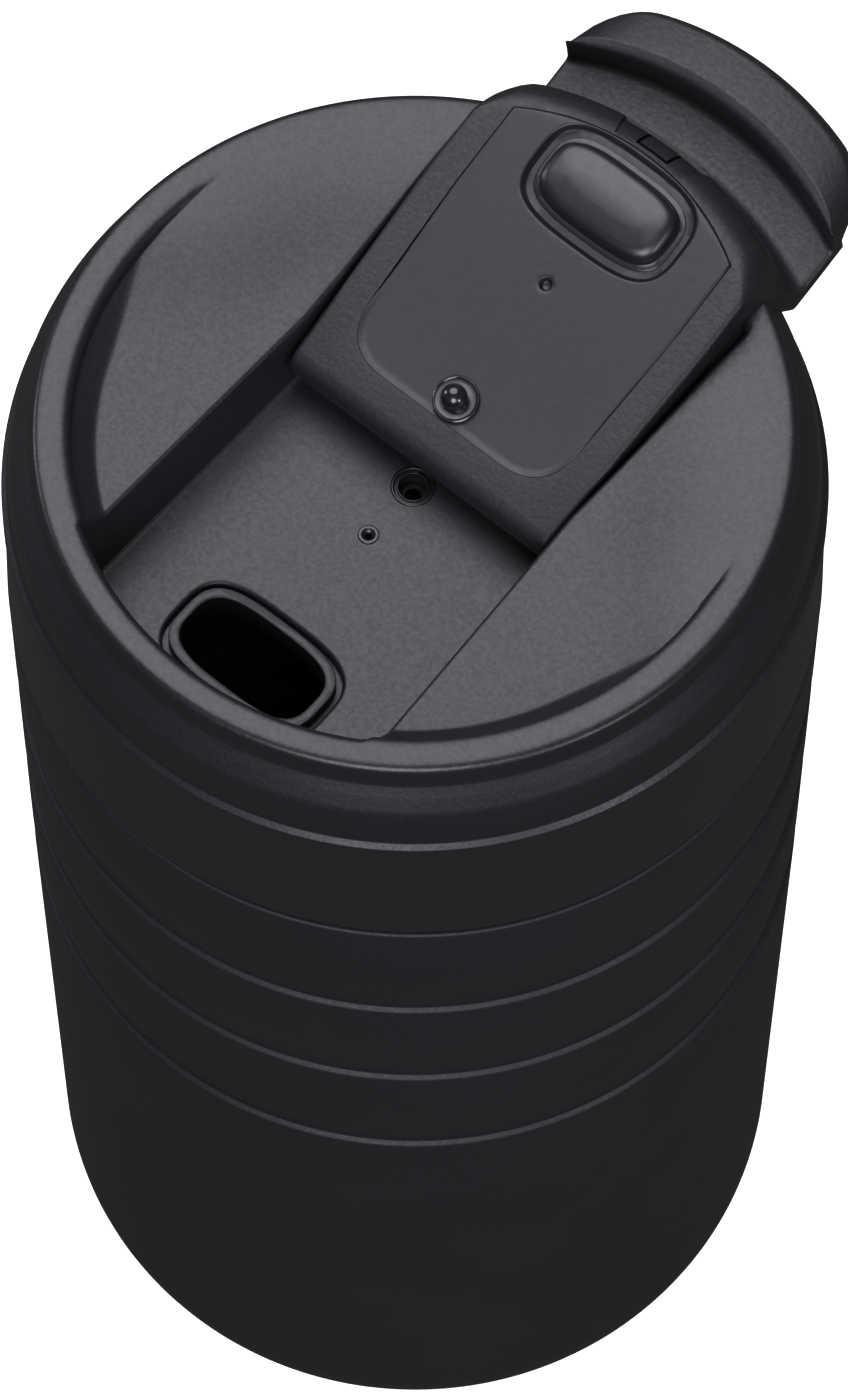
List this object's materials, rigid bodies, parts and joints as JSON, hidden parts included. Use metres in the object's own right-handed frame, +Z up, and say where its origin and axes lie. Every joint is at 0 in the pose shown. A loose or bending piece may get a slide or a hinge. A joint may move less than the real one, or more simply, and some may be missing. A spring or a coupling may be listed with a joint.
{
  "type": "insulated travel mug",
  "caption": "Tall double-walled travel mug with a screw-on drinking lid whose hinged flap lies open, showing the sip hole and its stopper.",
  "frame": {"origin": "centre of the flat resting face of the base pad", "axes": "+Z up along the mug's axis; the drinking side is -Y and the open flap lies towards +Y; the flap's hinge runs along X"},
  "size_m": [0.087, 0.1002, 0.1785],
  "materials": {
    "shell_coat": "soft matt dark powder coat",
    "steel": "bare stainless steel",
    "lid_plastic": "fine matt grain moulded plastic, near black",
    "flap_plastic": "satin moulded plastic, near black",
    "plug_rubber": "smooth satin silicone rubber, near black",
    "seal_silicone": "matt grey silicone",
    "pad_silicone": "matt dark silicone"
  },
  "bodies": {
    "mug": {"outer_shell": "shell_coat", "inner_liner": "steel", "base_plate": "steel", "vacuum_seal": "steel", "base_pad": "pad_silicone", "neck_collar": "lid_plastic"},
    "lid_seal": {"lid_gasket": "seal_silicone"},
    "lid": {"lid_shell": "lid_plastic", "lid_inner": "lid_plastic", "stud_socket": "plug_rubber", "vent_bush": "plug_rubber", "hinge_pin": "steel"},
    "flap": {"flap_shell": "flap_plastic", "flap_plate": "flap_plastic", "sip_plug": "plug_rubber", "snap_stud": "plug_rubber"}
  },
  "joints": [
    {"name": "lid_rise", "type": "slide", "parent": "mug", "child": "lid_seal", "axis": [0, 0, 1], "range_m": [0, 0.0061]},
    {"name": "lid_turn", "type": "hinge", "parent": "lid_seal", "child": "lid", "pos_m": [0, 0, 0.15], "axis": [0, 0, 1], "range_deg": [0, 180]},
    {"name": "flap_hinge", "type": "hinge", "parent": "lid", "child": "flap", "pos_m": [0, 0.0038, 0.1629], "axis": [1, 0, 0], "range_deg": [0, 164.4]}
  ],
  "couplings": [
    {"joint": "lid_rise", "follows": "lid_turn", "m_per_rad": 0.0019099}
  ]
}
